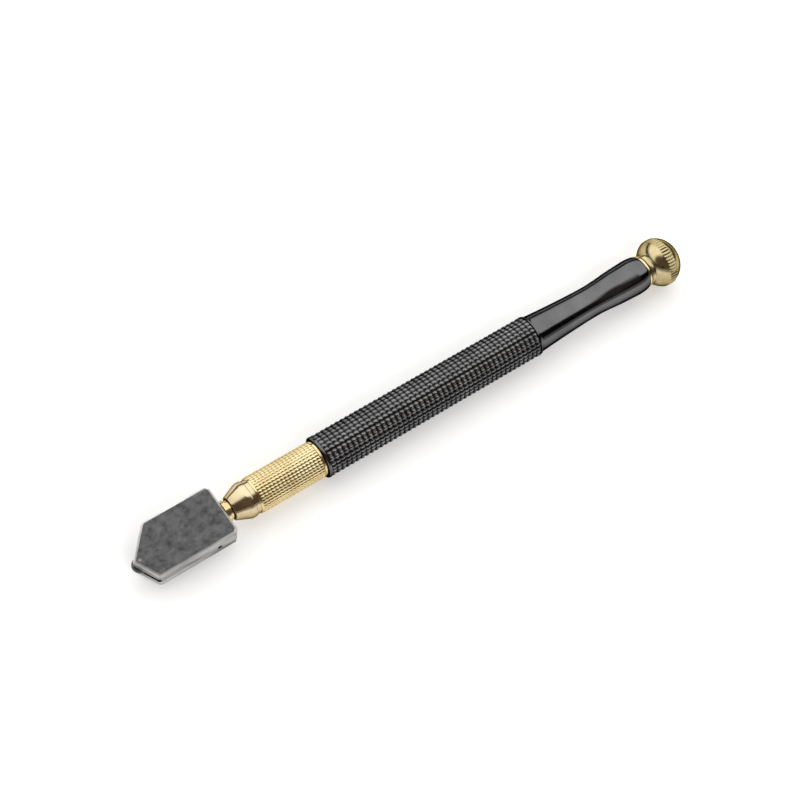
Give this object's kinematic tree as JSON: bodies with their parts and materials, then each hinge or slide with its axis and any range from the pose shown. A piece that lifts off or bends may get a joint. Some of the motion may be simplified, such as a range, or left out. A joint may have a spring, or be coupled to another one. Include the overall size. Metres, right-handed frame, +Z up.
{
  "type": "glass cutter",
  "caption": "Oil-fed glass cutter: swivelling wide head with a cutting wheel, knurled metal handle that holds the oil, and a ball cap that unscrews.",
  "frame": {"origin": "under the middle of the tool's length, on its axis line, at the height of the surface that it lies on (the lowest point of the ball cap)", "axes": "+X along the handle from the cutting wheel to the ball cap; +Z up, square to the head's broad faces; the wheel turns in the XY plane"},
  "size_m": [0.1724, 0.0148, 0.0137],
  "materials": {
    "head_metal": "ground dark zinc-plated steel, satin, with bright rubbed edges",
    "pin_steel": "bright ground steel",
    "carbide": "ground tungsten carbide, dark grey",
    "brass": "polished yellow brass",
    "black_plate": "gloss black plating over a knurled tube",
    "seal_rubber": "black nitrile rubber",
    "spring_steel": "stainless spring wire",
    "felt": "pressed wool felt",
    "wick_cotton": "braided cotton"
  },
  "bodies": {
    "handle": {"nose_nut": "brass", "knurled_ferrule": "brass", "ferrule_ring": "seal_rubber", "valve_seat": "brass", "valve_spring": "spring_steel", "spring_plug": "brass", "filter_felt": "felt", "barrel": "black_plate", "filler_bush": "brass"},
    "stem": {"swivel_stem": "brass", "stem_seal": "seal_rubber", "feed_wick": "wick_cotton"},
    "head": {"head_block": "head_metal", "head_pin": "pin_steel", "wheel_axle": "pin_steel"},
    "wheel": {"cutting_wheel": "carbide"},
    "valve": {"valve_poppet": "brass"},
    "washer": {"cap_washer": "seal_rubber"},
    "cap": {"ball_cap": "brass"}
  },
  "joints": [
    {"name": "stem_plunge", "type": "slide", "parent": "handle", "child": "stem", "axis": [1, 0, 0], "range_m": [0, 0.0008], "stiffness_N_per_m": 2500, "springref_m": -0.0012, "deforming": ["valve_spring"]},
    {"name": "head_swivel", "type": "hinge", "parent": "stem", "child": "head", "pos_m": [-0.06545, 0, 0.00685], "axis": [1, 0, 0], "range_deg": [-15, 15]},
    {"name": "wheel_spin", "type": "hinge", "parent": "head", "child": "wheel", "pos_m": [-0.08405, -0.001, 0.00685], "axis": [0, 0, 1], "continuous": true},
    {"name": "valve_lift", "type": "slide", "parent": "handle", "child": "valve", "axis": [1, 0, 0], "range_m": [0, 0.0008]},
    {"name": "cap_turn", "type": "hinge", "parent": "washer", "child": "cap", "pos_m": [0.08085, 0, 0.00685], "axis": [1, 0, 0], "range_deg": [0, 2160]},
    {"name": "cap_lift", "type": "slide", "parent": "handle", "child": "washer", "axis": [1, 0, 0], "range_m": [0, 0.00601]}
  ],
  "couplings": [
    {"joint": "valve_lift", "follows": "stem_plunge", "ratio": 1},
    {"joint": "cap_lift", "follows": "cap_turn", "m_per_rad": 0.00015915}
  ]
}
